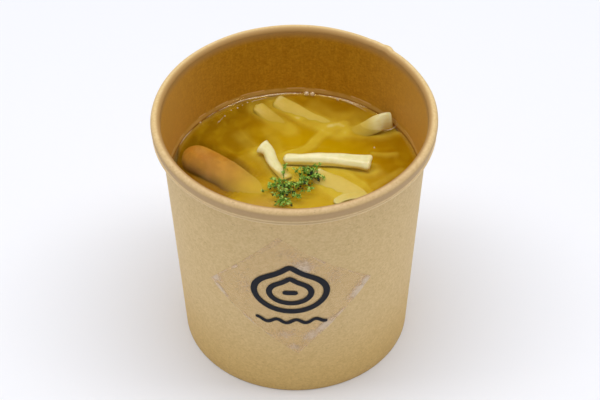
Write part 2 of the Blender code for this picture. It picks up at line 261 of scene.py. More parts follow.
class Nodes:
    """A material's node tree, with short calls for the nodes used here."""

    def __init__(self, name):
        self.mat = bpy.data.materials.new(name)
        self.mat.use_nodes = True
        self.tree = self.mat.node_tree
        self.shader = self.tree.nodes["Principled BSDF"]
        self.point = self.new("TexCoord", {}, "Object")

    def new(self, kind, inputs, output=0, **settings):
        """The output of a new node, with its settings made and its inputs fed."""
        node = self.tree.nodes.new("ShaderNode" + kind)
        for key, value in settings.items():
            setattr(node, key, value)
        for key, value in inputs.items():
            self.feed(node.inputs[key], value)
        return Value(self, node.outputs[output])

    def feed(self, socket, value):
        if isinstance(value, Value):
            self.tree.links.new(value.socket, socket)
        else:
            socket.default_value = value

    def shade(self, **values):
        """Feeds the shader, where an underscore in a name stands for a space, and ends the material."""
        for key, value in values.items():
            self.feed(self.shader.inputs[key.replace("_", " ")], value)
        return self.mat

    def math(self, operation, a, b=0.0):
        return self.new("Math", {0: a, 1: b}, operation=operation)

    def held(self, name):
        """A number that the mesh holds at its vertices."""
        return self.new("Attribute", {}, "Fac", attribute_name=name)

    def where(self):
        """The x, y and z of the point that is shaded, in the model's own frame."""
        parts = self.tree.nodes.new("ShaderNodeSeparateXYZ")
        self.feed(parts.inputs[0], self.point)
        return [Value(self, socket) for socket in parts.outputs]

    def from_axis(self):
        x, y, _ = self.where()
        return self.math("SQRT", x * x + y * y)

    def above(self, level):
        """Height above a level, in mm."""
        return (self.where()[2] - level) * (1.0 / MM)

    def noise(self, scale, detail=2.0, stretch=(1.0, 1.0, 1.0), rotation=(0.0, 0.0, 0.0),
              roughness=0.5, distortion=0.0):
        spot = self.new("Mapping", {"Vector": self.point, "Rotation": rotation, "Scale": stretch})
        return self.new("TexNoise", {"Vector": spot, "Scale": scale, "Detail": detail,
                                     "Roughness": roughness, "Distortion": distortion}, "Fac")

    def ramp(self, value, low, high, start=0.0, end=1.0):
        return self.new("MapRange", {"Value": value, "From Min": low, "From Max": high,
                                     "To Min": start, "To Max": end}, interpolation_type="SMOOTHSTEP")

    def band(self, value, foot, low, high, top):
        """1 between low and high, falling to 0 at foot and at top."""
        return self.ramp(value, foot, low) * self.ramp(value, high, top, 1.0, 0.0)

    def mix(self, factor, a, b, blend="MIX"):
        return self.new("Mix", {0: factor, 6: a, 7: b}, 2, data_type="RGBA", blend_type=blend)

    def bump(self, height, strength, distance):
        return self.new("Bump", {"Height": height, "Strength": strength, "Distance": distance})


def srgb(*levels):
    """Linear colour of an 8-bit sRGB one."""
    linear = [c / 255.0 / 12.92 if c <= 10 else ((c / 255.0 + 0.055) / 1.055) ** 2.4 for c in levels]
    return (*linear, 1.0)


GOLD = srgb(190, 150, 0)
DEEP_GOLD = srgb(162, 116, 0)
OLIVE = srgb(150, 110, 4)
WISP = srgb(212, 176, 30)
VEIL = srgb(216, 190, 62)
PALE_VEIL = srgb(232, 220, 150)
SHADE = srgb(152, 102, 18)
SHORE = srgb(182, 140, 60)
STAIN = srgb(188, 142, 70)
STAIN_PLACE = (-11.0 * MM, -19.0 * MM, SOUP_LEVEL)      # where the sausage's sunk end tans the broth

# Light spreads a little inside food and broth, so edges and shadows on them stay soft
SOFT = dict(Subsurface_Radius=(1.0, 0.8, 0.35), Subsurface_Scale=2.5 * MM)


def broth_colour(nodes):
    """Golden in the middle and on the right, olive and cloudier on the left, paler along the wall.

    It is paler round sunk onion, as far as the mesh's own veil says, and darkened by painted shade where it
    lies deep.
    """
    x, y, _ = nodes.where()
    radius = nodes.from_axis()
    colour = nodes.mix(nodes.ramp(radius, 20.0 * MM, 37.0 * MM), GOLD, DEEP_GOLD)
    sideways = x + (nodes.noise(90.0) - 0.5) * (30.0 * MM) - y * 0.15
    colour = nodes.mix(nodes.ramp(sideways, -26.0 * MM, -6.0 * MM, 1.0, 0.0), colour, OLIVE)
    wisps = nodes.noise(170.0, 3.0, distortion=0.8)
    colour = nodes.mix(nodes.ramp(wisps, 0.4, 0.75, 0.0, 0.3), colour, WISP)
    veil = nodes.held("veil")
    colour = nodes.mix(nodes.math("MINIMUM", veil, 1.0), colour, VEIL)
    colour = nodes.mix(nodes.ramp(veil, 0.82, 1.0, 0.0, 0.75), colour, PALE_VEIL)
    reach = nodes.new("VectorMath", {0: nodes.point, 1: STAIN_PLACE}, "Value", operation="DISTANCE")
    colour = nodes.mix(nodes.ramp(reach, 4.0 * MM, 13.0 * MM, 0.65, 0.0), colour, STAIN)
    shore = nodes.ramp(radius, BRIM - 1.6 * MM, BRIM - 0.2 * MM, 0.0, 0.55)
    colour = nodes.mix(shore, colour, SHORE)
    return nodes.mix(nodes.ramp(nodes.above(SOUP_LEVEL), -7.0, -3.6, 1.0, 0.0), colour, SHADE)


def sunk_share(nodes, fade):
    """How far the broth hides a point, from 0 at the surface towards 1, unevenly from place to place."""
    uneven = nodes.ramp(nodes.noise(300.0), 0.3, 0.7, 0.6, 1.5)
    height = nodes.math("MINIMUM", nodes.above(SOUP_LEVEL), 0.0)
    return 1.0 - nodes.math("EXPONENT", height * (MM / fade) * uneven)


def also_hidden(share, other):
    """The share that is hidden by one cause or the other."""
    return 1.0 - (1.0 - share) * (1.0 - other)


def in_broth(nodes, colour, share, tint):
    """A piece's colour: its own above the broth, tinted just under it and lost in it further down."""
    wet = nodes.ramp(nodes.above(SOUP_LEVEL), -0.1, 0.9, 1.0, 0.0)
    tinted = nodes.mix(wet, colour, nodes.mix(1.0, colour, tint, "MULTIPLY"))
    return nodes.mix(share, tinted, broth_colour(nodes))


def levelled(nodes, normal, share):
    """A normal that turns upright where the broth hides a piece, so it shades as the broth does."""
    mixed = nodes.new("Mix", {0: share, 4: normal, 5: UP}, 1, data_type="VECTOR")
    return nodes.new("VectorMath", {0: mixed}, operation="NORMALIZE")


# ---------------------------------------------------------------- materials

def kraft_colour(nodes, light, dark, speck):
    """Paper with short fibres lying every way, soft mottling and a few darker specks."""
    fibres = nodes.noise(1500.0, 3.0, stretch=(1.0, 1.0, 0.8), roughness=0.65)
    crossing = nodes.noise(1300.0, 2.0, stretch=(0.7, 0.7, 1.0), rotation=(0.9, 0.5, 0.3))
    mottle = nodes.noise(420.0, 3.0, roughness=0.6)
    tone = fibres * 0.4 + crossing * 0.35 + mottle * 0.25
    colour = nodes.mix(nodes.ramp(tone, 0.36, 0.64), dark, light)
    specks = nodes.noise(1500.0, 1.0, rotation=(0.2, 0.7, 1.1))
    return nodes.mix(nodes.ramp(specks, 0.68, 0.78, 0.0, 0.6), colour, speck), tone


def kraft_outside_material():
    """Uncoated kraft, with painted shade on the roll's face, on its turned-in top, on the crest (most at the
    front) and towards the foot, and a painted highlight along the roll's lip.
    """
    nodes = Nodes("kraft_outside")
    colour, tone = kraft_colour(nodes, srgb(231, 201, 144), srgb(215, 183, 123), srgb(164, 130, 80))
    _, y, z = nodes.where()
    inwards = (RIM_RADIUS - nodes.from_axis()) * (1.0 / MM)
    up = nodes.above(ROLL_FOOT)
    # painted shade: the wall is made deeper and darker towards the foot
    foot = nodes.ramp(z, 0.0, 40.0 * MM, 0.85, 0.0)
    colour = nodes.mix(foot, colour, nodes.mix(1.0, colour, srgb(242, 231, 188), "MULTIPLY"))
    # painted shade on the roll's outer face, below its lit crest
    face = nodes.band(up, 1.2, 1.8, 4.2, 5.6) * nodes.ramp(inwards, 1.1, 1.6, 1.0, 0.0)
    colour = nodes.mix(face * 0.8, colour, srgb(186, 150, 104))
    # painted highlight: a pale band along the roll's lower lip, where it catches the light
    lip = nodes.band(up, -0.1, 0.1, 0.8, 1.4) * nodes.ramp(inwards, 0.8, 1.1, 1.0, 0.0)
    colour = nodes.mix(lip * 0.9, colour, srgb(240, 214, 168))
    # painted shade on the inner half of the crest, turned away from the light
    turned_in_shade = nodes.ramp(inwards, 1.3, 2.7) * nodes.ramp(up, 1.6, 2.6)
    colour = nodes.mix(turned_in_shade, colour, srgb(178, 138, 78))
    near = nodes.ramp(y, -44.0 * MM, 10.0 * MM, 1.0, 0.0)
    shade = nodes.mix(near, srgb(254, 254, 255), srgb(238, 233, 240))
    crest = nodes.ramp(up, 4.8, 5.6)
    colour = nodes.mix(crest, colour, nodes.mix(1.0, colour, shade, "MULTIPLY"))
    return nodes.shade(Base_Color=colour, Roughness=0.62, Normal=nodes.bump(tone, 0.2, 0.05 * MM))


def kraft_inside_material():
    """The same paper with a moisture barrier: deeper, with a faint upright grain, wet at the broth; painted
    light makes it paler away from the far wall, and painted sheen and highlight run along the broth's edge on
    the wall.
    """
    nodes = Nodes("kraft_inside")
    colour, tone = kraft_colour(nodes, srgb(203, 150, 32), srgb(177, 123, 8), srgb(128, 84, 6))
    grain = nodes.noise(1300.0, 2.0, stretch=(1.0, 1.0, 0.08))
    colour = nodes.mix(nodes.ramp(grain, 0.4, 0.65, 0.0, 0.26), colour, srgb(170, 114, 9))
    # painted light: paler on the sides and towards the front than on the far wall, as the light falls
    sides = nodes.ramp(nodes.where()[1], 14.0 * MM, 43.0 * MM, 0.62, 0.0)
    colour = nodes.mix(sides, colour, srgb(218, 168, 84))
    colour = nodes.mix(nodes.ramp(nodes.above(ROLL_FOOT), 1.1, 4.6), colour, srgb(184, 144, 86))
    up = nodes.above(SOUP_LEVEL)
    wetted = nodes.noise(140.0)
    damp = nodes.ramp(up + (wetted - 0.5) * 4.0, 1.0, 3.6, 0.5, 0.0)
    colour = nodes.mix(damp, colour, srgb(190, 144, 20))
    # a film of broth clinging above the surface, painted paler as the sheen of its wet face
    clinging_film_sheen = nodes.band(up, -0.6, 0.1, 1.5, 2.6) * nodes.ramp(wetted, 0.3, 0.6, 0.45, 0.85)
    colour = nodes.mix(clinging_film_sheen, colour, srgb(222, 184, 106))
    # painted highlight: a pale broken line where the wet edge of the broth catches the light
    glint_waver = nodes.noise(60.0, 2.0, stretch=(1.0, 1.0, 0.0))
    broken = nodes.noise(150.0, 2.0, stretch=(1.0, 1.0, 0.3))
    contact_glint = nodes.band(up - (glint_waver - 0.5) * 1.4, 1.7, 2.0, 2.1, 2.5)
    contact_glint = contact_glint * nodes.ramp(broken, 0.46, 0.56, 0.0, 0.65)
    colour = nodes.mix(contact_glint, colour, srgb(236, 202, 146))
    share = sunk_share(nodes, 0.9 * MM)
    normal = levelled(nodes, nodes.bump(tone, 0.15, 0.05 * MM), share)
    return nodes.shade(Base_Color=in_broth(nodes, colour, share, GOLD), Roughness=0.5, Normal=normal,
                       Specular_IOR_Level=0.3)


def film_material():
    """Clear film, faintly whitish and scuffed where it has lifted. The mesh holds where that is."""
    nodes = Nodes("label_film")
    scuffs = nodes.noise(520.0, 4.0, roughness=0.75, distortion=1.2)
    dust = nodes.noise(2600.0, 2.0, roughness=0.7)
    ragged = nodes.held("lifted") + (scuffs - 0.5) * 1.3 + (dust - 0.5) * 0.6
    white = nodes.ramp(ragged, 0.1, 1.0)
    colour = nodes.mix(white, srgb(238, 202, 158), srgb(250, 230, 202))
    return nodes.shade(Base_Color=colour, Roughness=0.45, Alpha=0.05 + white * 0.5,
                       Normal=nodes.bump(white, 0.1, 0.05 * MM))


def ink_material():
    nodes = Nodes("label_ink")
    patchy = nodes.ramp(nodes.noise(1800.0), 0.3, 0.7)
    colour = nodes.mix(patchy, srgb(4, 8, 20), srgb(12, 17, 31))
    return nodes.shade(Base_Color=colour, Roughness=0.6, Specular_IOR_Level=0.25)


def clear_broth_material():
    """The clear skin of the broth: mostly see-through, yet as glossy as water."""
    nodes = Nodes("broth_clear")
    y = nodes.where()[1]
    climbing = nodes.ramp(nodes.from_axis(), BRIM - 2.6 * MM, BRIM - 0.8 * MM)
    not_far = nodes.ramp(y, 26.0 * MM, 37.0 * MM, 1.0, 0.45)
    return nodes.shade(Base_Color=broth_colour(nodes), Alpha=0.15 - climbing * not_far * 0.12, IOR=3.4,
                       Roughness=nodes.ramp(y, -16.0 * MM, 6.0 * MM, 0.38, 0.04),
                       Specular_Tint=(1.0, 0.78, 0.26, 1.0))


def murk_material():
    nodes = Nodes("broth_murk")
    return nodes.shade(Base_Color=broth_colour(nodes), Roughness=0.9, Specular_IOR_Level=0.0,
                       Subsurface_Weight=0.5, **SOFT)


def onion_material():
    """Cooked onion: pale, faintly streaked along its length, tinted where the broth covers it.

    A sunk strip also dissolves towards its own edges, which the mesh holds.
    """
    nodes = Nodes("onion_flesh")
    fine = nodes.noise(500.0, 3.0)
    lines = nodes.new("CombineXYZ", {0: nodes.held("across") + fine * 0.5})
    wave = nodes.new("TexWave", {"Vector": lines, "Scale": 0.7}, "Fac", wave_type="BANDS",
                     bands_direction="X")
    colour = nodes.mix(nodes.ramp(wave, 0.5, 1.0, 0.0, 0.2), srgb(226, 218, 158), srgb(214, 194, 112))
    colour = nodes.mix(nodes.ramp(fine, 0.35, 0.7, 0.0, 0.35), colour, srgb(240, 234, 196))
    thin = nodes.ramp(nodes.held("rim"), 0.3, 0.95) * nodes.ramp(nodes.above(SOUP_LEVEL), -1.0, 0.0, 1.0, 0.0)
    share = also_hidden(sunk_share(nodes, FADE_DEPTH), thin)
    share = also_hidden(share, nodes.held("sinking"))
    normal = levelled(nodes, nodes.bump(fine, 0.15, 0.2 * MM), share)
    return nodes.shade(Base_Color=in_broth(nodes, colour, share, srgb(246, 226, 134)), Normal=normal,
                       Roughness=0.3 + share * 0.6, Subsurface_Weight=0.35, **SOFT)


def sausage_material():
    """Boiled skin: tan brown with a redder blush, pitted and wrinkled very finely."""
    nodes = Nodes("sausage_skin")
    blotch = nodes.noise(190.0, 4.0, roughness=0.65)
    pores = nodes.noise(1300.0)
    blush = nodes.noise(110.0, 1.0, rotation=(0.0, 0.6, 0.2))
    colour = nodes.mix(nodes.ramp(blotch, 0.35, 0.65), srgb(196, 152, 62), srgb(220, 178, 90))
    colour = nodes.mix(nodes.ramp(pores, 0.62, 0.78, 0.0, 0.3), colour, srgb(170, 120, 48))
    colour = nodes.mix(nodes.ramp(blush, 0.52, 0.66, 0.0, 0.3), colour, srgb(208, 138, 68))
    share = also_hidden(sunk_share(nodes, 7.5 * MM), nodes.held("sinking"))
    normal = levelled(nodes, nodes.bump(pores, 0.2, 0.1 * MM), 0.72 + share * 0.28)
    return nodes.shade(Base_Color=in_broth(nodes, colour, share, srgb(246, 216, 130)), Normal=normal,
                       Roughness=0.45 + share * 0.45, Subsurface_Weight=0.3, **SOFT)


def parsley_material():
    """Dried leaf: each flake has its own green, from nearly black to pale, and loose flakes carry painted
    shade, darker the lower they lie in the heap.
    """
    nodes = Nodes("parsley_leaf")
    tone = nodes.held("tone")
    veins = nodes.noise(2400.0)
    colour = nodes.mix(nodes.ramp(tone, 0.0, 0.5), srgb(22, 38, 2), srgb(104, 152, 24))
    colour = nodes.mix(nodes.ramp(tone, 0.5, 1.0), colour, srgb(174, 208, 96))
    colour = nodes.mix(nodes.ramp(veins, 0.45, 0.75, 0.0, 0.25), colour, srgb(64, 104, 16))
    return nodes.shade(Base_Color=colour, Roughness=0.6, Normal=nodes.bump(veins, 0.3, 0.1 * MM))


def bubble_and_glint_material():
    nodes = Nodes("bubble_and_glint_film")
    # pale film for the bubbles, also the colour of the beads that stand in for glints
    colour = nodes.mix(nodes.noise(800.0, 1.0), srgb(236, 206, 150), srgb(250, 232, 200))
    return nodes.shade(Base_Color=colour, Roughness=0.08, IOR=2.4, Alpha=0.42)


def floor_material():
    nodes = Nodes("floor")
    colour = nodes.mix(nodes.noise(3.0, 1.0), srgb(239, 240, 246), srgb(242, 243, 248))
    return nodes.shade(Base_Color=colour, Roughness=0.9)


# ---------------------------------------------------------------- paper cup

def arc(centre, radius, start, end, count):
    """Points on an arc between two angles in degrees."""
    angles = [math.radians(start + (end - start) * i / count) for i in range(count + 1)]
    return [(centre[0] + radius * math.cos(a), centre[1] + radius * math.sin(a)) for a in angles]


def straight(radius_at, start, end, count):
    """Points on a face from one height to another, where the radius depends on the height."""
    levels = [start + (end - start) * i / count for i in range(count + 1)]
    return [(radius_at(z), z) for z in levels]


def cup_outline():
    """Closed outline of the wall: over the roll, down outside, round the fold, and up inside."""
    crest_radius = (RIM_RADIUS - inner_radius(CUP_HEIGHT)) / 2.0
    crest = (RIM_RADIUS - crest_radius, CUP_HEIGHT - crest_radius)
    lip_radius = 0.22 * MM
    lip = (RIM_RADIUS - 0.35 * MM - lip_radius, ROLL_FOOT + lip_radius)
    tuck = ROLL_FOOT + 0.45 * MM
    fold = 0.45 * MM
    hem = 2.0 * PAPER + 2.0 * GAP       # from the outside to the face of the paper turned up within
    outline = arc(crest, crest_radius, 180.0, 0.0, 20)
    outline += [(RIM_RADIUS - (0.08 + 0.17 * i) * MM, crest[1] - (0.6 + 0.75 * i) * MM) for i in range(5)]
    outline += arc(lip, lip_radius, 80.0, -95.0, 8)
    outline += [(wall_radius(tuck) + out * MM, tuck - down * MM) for out, down in ((1.2, 0.2), (0.25, 0.1))]
    outline += [(wall_radius(tuck - 0.8 * MM), tuck - 0.8 * MM)]
    outline += straight(wall_radius, ROLL_FOOT - 2.0 * MM, fold, 24)
    outline += [(wall_radius(0.0) - 0.3 * fold, 0.3 * fold), (wall_radius(0.0) - fold, 0.0)]
    outline += [(wall_radius(0.0) - hem - PAPER + fold, 0.0)]
    outline += [(wall_radius(fold) - hem - PAPER, fold), (wall_radius(HEM_HEIGHT) - hem - PAPER, HEM_HEIGHT)]
    outline += [(wall_radius(HEM_HEIGHT) - hem, HEM_HEIGHT), (wall_radius(PAPER) - hem, PAPER)]
    return outline + straight(inner_radius, PAPER, crest[1], 40)[:-1]


def make_cup_wall(outside, inside):
    """The wall with its side lap, and a roll that wavers, with a knob where its own joint is."""
    outline = cup_outline()
    count = len(outline)
    verts, faces = [], []
    for i, (c, s) in enumerate(circle(WALL_STEPS)):
        angle = 2.0 * math.pi * i / WALL_STEPS
        from_lap = abs(around(angle, LAP_AZIMUTH))
        from_knob = abs(around(angle, KNOB_AZIMUTH)) * RIM_RADIUS
        knob = KNOB * smooth(2.4 * MM, 0.7 * MM, from_knob)
        knob += KNOB_AT_LAP * smooth(4.6 * MM, 3.6 * MM, from_lap * RIM_RADIUS)
        waver = WAVER * noise.noise(Vector((c, s, 4.0)) * 3.0)
        for radius, z in outline:
            on_outside = radius > wall_radius(z) - 0.1 * PAPER
            if on_outside and 1.0 * MM < z < ROLL_FOOT:
                over = from_lap * radius - LAP_HALF_WIDTH
                radius += LAP_PROUD * smooth(0.15 * MM, -0.15 * MM, over)
            if z > ROLL_FOOT - 0.1 * MM:
                high = smooth(ROLL_FOOT, CUP_HEIGHT, z)
                radius += knob * (1.0 if on_outside else 0.1) + waver * high
                z += knob * high + waver * high * 0.6
            verts.append(Vector((c * radius, s * radius, z)))
    for i in range(WALL_STEPS):
        a, b = i * count, (i + 1) % WALL_STEPS * count
        for j in range(count):
            k = (j + 1) % count
            faces.append((a + j, a + k, b + k, b + j))
    wall = mesh_object("cup_wall_paper", verts, faces, outside)
    wall.data.materials.append(inside)
    outward(wall)
    for face in wall.data.polygons:
        x, y, z = face.center
        facing_in = face.normal.x * x + face.normal.y * y < 0.0
        if facing_in and math.hypot(x, y) > inner_radius(z) - 0.2 * MM and z < CUP_HEIGHT - 1.7 * MM:
            face.material_index = 1
    place(wall, "kraft_paper", "cup_wall", sharp=50.0)


def dress_base(mat):
    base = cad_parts["cup_base"]
    base.data.materials.clear()
    base.data.materials.append(mat)


# ---------------------------------------------------------------- label

LABEL_SIDES = (41.4 * MM, 43.3 * MM)
LABEL_TILT = math.radians(4.6)
LABEL_AZIMUTH = math.radians(-93.2)
LABEL_HEIGHT = 50.5 * MM                # of its middle
LABEL_STEPS = 112
FILM = 0.12 * MM
INK_UNDERSIDE = 0.22 * MM               # from the wall's outside
INK = 0.03 * MM

# Where the film has lifted: (u, v) from -1 to 1 to the right and up over the diamond's half
# diagonal, then the patch's half sizes, its turn in degrees and its strength
LIFTED = (
    (-0.92, 0.02, 0.09, 0.08, 0, 0.95), (-0.84, -0.14, 0.13, 0.03, -45, 1.0),
    (-0.47, -0.52, 0.13, 0.04, -45, 0.9), (-0.26, -0.70, 0.10, 0.05, -45, 0.6),
    (-0.62, 0.36, 0.06, 0.02, 45, 0.9), (-0.80, 0.18, 0.12, 0.02, 45, 0.8),
    (0.92, 0.02, 0.08, 0.08, 0, 1.0), (0.82, -0.10, 0.13, 0.08, 50, 1.0),
    (0.60, -0.38, 0.10, 0.03, 45, 0.8), (0.42, -0.54, 0.16, 0.06, 45, 1.0),
    (0.26, -0.68, 0.12, 0.07, 45, 0.8), (0.16, 0.50, 0.13, 0.12, -30, 0.85),
    (0.06, -0.88, 0.10, 0.06, 0, 0.7), (-0.05, -0.66, 0.16, 0.08, 10, 0.5),
    (0.52, 0.30, 0.10, 0.14, 0, 0.4), (-0.52, 0.10, 0.10, 0.16, 0, 0.4),
    (0.0, 0.72, 0.14, 0.08, 0, 0.35), (0.34, 0.60, 0.12, 0.02, -45, 0.6),
)
LIFTED_EDGE = 0.35


def turned(x, y, angle):
    c, s = math.cos(angle), math.sin(angle)
    return x * c - y * s, x * s + y * c


def on_wall(right, up, offset):
    """A point right and up of the label's middle, at a distance from the wall's outside."""
    z = LABEL_HEIGHT + up
    radius = wall_radius(z) + offset
    angle = LABEL_AZIMUTH + right / wall_radius(LABEL_HEIGHT)
    return Vector((radius * math.cos(angle), radius * math.sin(angle), z))


def lifted_share(u, v):
    edge = max(abs(u + v), abs(u - v))
    share = LIFTED_EDGE * smooth(0.97, 1.0, edge)
    for centre_u, centre_v, size_u, size_v, turn, strength in LIFTED:
        a, b = turned(u - centre_u, v - centre_v, -math.radians(turn))
        share = max(share, strength * math.exp(-0.7 * ((a / size_u) ** 2 + (b / size_v) ** 2)))
    return share


def make_label(mat):
    """The film: a front grid, a back grid just off the paper, and the edge between them."""
    n = LABEL_STEPS
    verts, faces, lifted = [], [], []
    half = [side / 2.0 for side in LABEL_SIDES]
    for front in (FILM * 0.5, 0.0):
        for j in range(n + 1):
            for i in range(n + 1):
                a, b = (2.0 * i / n - 1.0) * half[0], (2.0 * j / n - 1.0) * half[1]
                right, up = turned(a, b, LABEL_TILT + math.pi / 4.0)
                share = lifted_share(right / math.hypot(*half), up / math.hypot(*half))
                rise = 0.10 * MM * share * (0.6 + noise.noise(Vector((right, up, 0.0)) * 700.0))
                verts.append(on_wall(right, up, 0.05 * MM + max(rise, 0.0) + front))
                lifted.append(share)
    row = n + 1
    size = row * row
    for j in range(n):
        for i in range(n):
            a = j * row + i
            quad = (a, a + 1, a + row + 1, a + row)
            faces.append(quad)
            faces.append(tuple(size + k for k in reversed(quad)))
    border = list(range(n)) + [j * row + n for j in range(n)]
    border += [size - 1 - i for i in range(n)] + [(n - j) * row for j in range(n)]
    faces.extend((a, size + a, size + b, b) for a, b in zip(border, border[1:] + border[:1]))
    film = outward(mesh_object("label_film_sheet", verts, faces, mat))
    keep_values(film, lifted=lifted)
    place(film, "clear_film", "label_film", sharp=40.0)


def stroke(points, width, verts, faces, closed=False):
    """A flat printed line of constant width with round ends, on the wall over the film."""
    start, count, fan = len(verts), len(points), 8

    def add(x, y):
        verts.extend(on_wall(x, y, INK_UNDERSIDE + height) for height in (INK, 0.0))

    for i, (x, y) in enumerate(points):
        before = points[i - 1] if closed or i > 0 else (x, y)
        after = points[(i + 1) % count] if closed or i < count - 1 else (x, y)
        dx, dy = after[0] - before[0], after[1] - before[1]
        half = width / 2.0 / math.hypot(dx, dy)
        add(x - dy * half, y + dx * half)
        add(x + dy * half, y - dx * half)
    for i in range(count if closed else count - 1):
        a, b = start + 4 * i, start + 4 * ((i + 1) % count)
        faces += [(a, a + 2, b + 2, b), (a + 1, b + 1, b + 3, a + 3),
                  (a, b, b + 1, a + 1), (a + 2, a + 3, b + 3, b + 2)]
    if closed:
        return
    for (x, y), inner in ((points[0], points[1]), (points[-1], points[-2])):
        facing = math.atan2(y - inner[1], x - inner[0])
        ring = [len(verts) + 2 * k for k in range(fan + 1)]
        for px, py in arc((x, y), width / 2.0, math.degrees(facing) - 90.0, math.degrees(facing) + 90.0, fan):
            add(px, py)
        faces += [tuple(ring), tuple(k + 1 for k in reversed(ring))]
        faces += [(a, a + 1, b + 1, b) for a, b in zip(ring, ring[1:])]


def bulb(middle, width, height, steps=72):
    """The outline of an onion: round, with a short pointed neck at the top."""
    points = []
    for i, (c, s) in enumerate(circle(steps)):
        neck = math.exp(-(around(2.0 * math.pi * i / steps, math.pi / 2.0) / 0.34) ** 2)
        points.append((middle[0] + c * width / 2.0 * (1.0 - 0.35 * neck),
                       middle[1] + s * height / 2.0 * (1.0 + 0.34 * neck)))
    return points


def make_label_print(mat):
    """A plain drawing of a cut onion in a few thick lines, over a wavy line."""
    verts, faces = [], []
    middle = (0.5 * MM, 2.2 * MM)
    stroke(bulb(middle, 25.0 * MM, 19.0 * MM), 2.3 * MM, verts, faces, closed=True)
    stroke(bulb(middle, 14.4 * MM, 10.6 * MM), 2.1 * MM, verts, faces, closed=True)
    core = [(middle[0] + (3.2 * i / 6.0 - 1.6) * MM, middle[1]) for i in range(7)]
    stroke(core, 2.1 * MM, verts, faces)
    spans = [i / 60.0 - 0.5 for i in range(61)]
    wave = [((0.8 + 24.0 * t) * MM, (0.85 * math.sin(7.0 * math.pi * t) - 12.6) * MM) for t in spans]
    stroke(wave, 1.5 * MM, verts, faces)
    art = mesh_object("label_print", verts, faces, mat)
    art.data.shade_flat()
    place(art, "clear_film")


# ---------------------------------------------------------------- food

def strip(route, width, roll, **looks):
    """A strip of onion: its route and its width along it in mm, and its roll in degrees.

    crown arches it across, lip turns up its left side and its ends, flare widens its ends, and
    corners holds their radii, in mm. veil says how strongly it clouds the broth, drowned between
    which places along it the broth hides it, and lost_side how far its right side dissolves.
    """
    usual = dict(thickness=1.6, crown=0.5, lip=0.2, flare=0.0, veil=0.8, drowned=(1.1, 1.2), lost_side=0.0)
    return dict(usual, route=route, width=width, roll=roll, **looks)


ONIONS = {
    "onion_strip_front": strip(
        ((-3.8, 8.0, 67.0), (4.0, 7.7, 67.1), (14.6, 7.2, 67.4), (26.6, 4.6, 68.2)),
        (4.0, 4.6, 5.0, 5.6), (38, 38, 28, 14), thickness=1.8, crown=0.8, lip=0.4, flare=0.05,
        corners=(2.0, 0.9)),
    "onion_curl": strip(
        ((-11.8, 14.0, 68.2), (-9.2, 11.2, 68.0), (-7.4, 6.4, 67.1), (-2.4, -1.0, 65.9)),
        (5.4, 4.2, 4.0, 4.6), (24, 0, -16, -14), crown=0.8, lip=0.3, flare=0.14, corners=(1.5, 1.0)),
    "onion_petal_near": strip(
        ((6.8, 2.0, 66.2), (13.2, -4.0, 64.8), (20.2, -10.6, 64.0), (26.4, -16.4, 63.2)),
        (5.0, 9.6, 11.0, 9.0), (16, 22, 24, 20), thickness=1.8, corners=(1.0, 1.0), veil=0.9, lost_side=0.85),
    "onion_petal_right": strip(
        ((34.4, 25.4, 69.4), (30.4, 24.4, 69.3), (25.0, 24.4, 66.0), (19.6, 24.6, 63.0)),
        (7.0, 6.4, 5.8, 4.8), (-82, -76, -50, -30), thickness=1.7, crown=0.9, lip=0.3, flare=-0.05,
        corners=(0.9, 0.6), veil=0.6, drowned=(0.18, 0.62)),
    "onion_petal_far": strip(
        ((-6.6, 40.8, 66.2), (0.2, 35.4, 65.0), (8.2, 29.6, 64.2), (15.6, 24.8, 63.6)),
        (5.4, 6.2, 6.8, 7.0), (12, 18, 18, 14), corners=(1.5, 1.0), veil=0.86, drowned=(0.5, 1.05)),
    "onion_tip_left": strip(
        ((-13.6, 37.6, 66.3), (-7.6, 31.8, 64.6), (-1.8, 26.0, 63.4)),
        (4.8, 5.4, 5.0), (8, 12, 12), lip=0.0, corners=(1.4, 1.0), veil=0.6, drowned=(0.35, 0.9)),
}

# A strip that lies wholly under the surface, yet near enough to show its square end
SUNK_STRIP = strip(
    ((13.4, -12.2, 65.3), (17.2, -10.5, 66.0), (21.0, -9.6, 66.3), (24.4, -8.9, 66.4)),
    (3.0, 3.2, 3.0, 2.8), (0, 0, 0, 0), thickness=0.7, crown=0.2, lip=0.0, corners=(1.4, 0.4), veil=1.0,
    drowned=(0.45, -0.1))

# Strips deeper down: only the pale cloud they make in the broth shows.
# Route (x, y) in mm, width in mm, softness of the sides in mm and strength
SUNK_ONIONS = (
    (((17.6, 28.6), (12.6, 25.6), (8.3, 21.4), (4.7, 16.4), (-2.6, 12.6)), 2.6, 0.8, 0.75),
    (((37.0, 4.4), (32.2, 0.4), (27.8, -3.4)), 1.6, 0.8, 0.35),
    (((-1.0, -9.6), (9.0, -13.6), (19.0, -19.4)), 11.0, 3.0, 0.28),
    (((-9.4, 26.4), (-6.8, 19.2), (-6.2, 12.0)), 1.6, 1.6, 0.3),
    (((-19.4, 23.8), (-15.0, 17.0), (-12.0, 11.6)), 1.8, 1.6, 0.35),
    (((7.0, 37.4), (14.0, 33.2), (23.0, 31.0)), 3.4, 2.0, 0.35),
    (((13.0, 3.0), (18.2, 0.2), (22.0, -3.2)), 3.6, 1.2, 0.75),
    (((27.6, 13.2), (31.2, 12.4), (35.4, 12.6)), 0.9, 0.7, 0.5),
    (((-5.4, 9.6), (-1.6, 5.0), (2.6, 0.6)), 4.2, 1.6, 0.6),
    (((24.0, -2.6), (25.6, -5.4), (27.2, -8.8)), 0.7, 0.6, 0.5),
    (((-7.6, -9.4), (-12.0, -14.8), (-16.0, -22.0)), 10.0, 4.0, 0.35),
)


ONION_END = 1.8 * MM                    # length at each end where the rings lie closer together
ONION_RING = 0.45 * MM                  # spacing of the rings between the ends
ONION_SIDES = 40


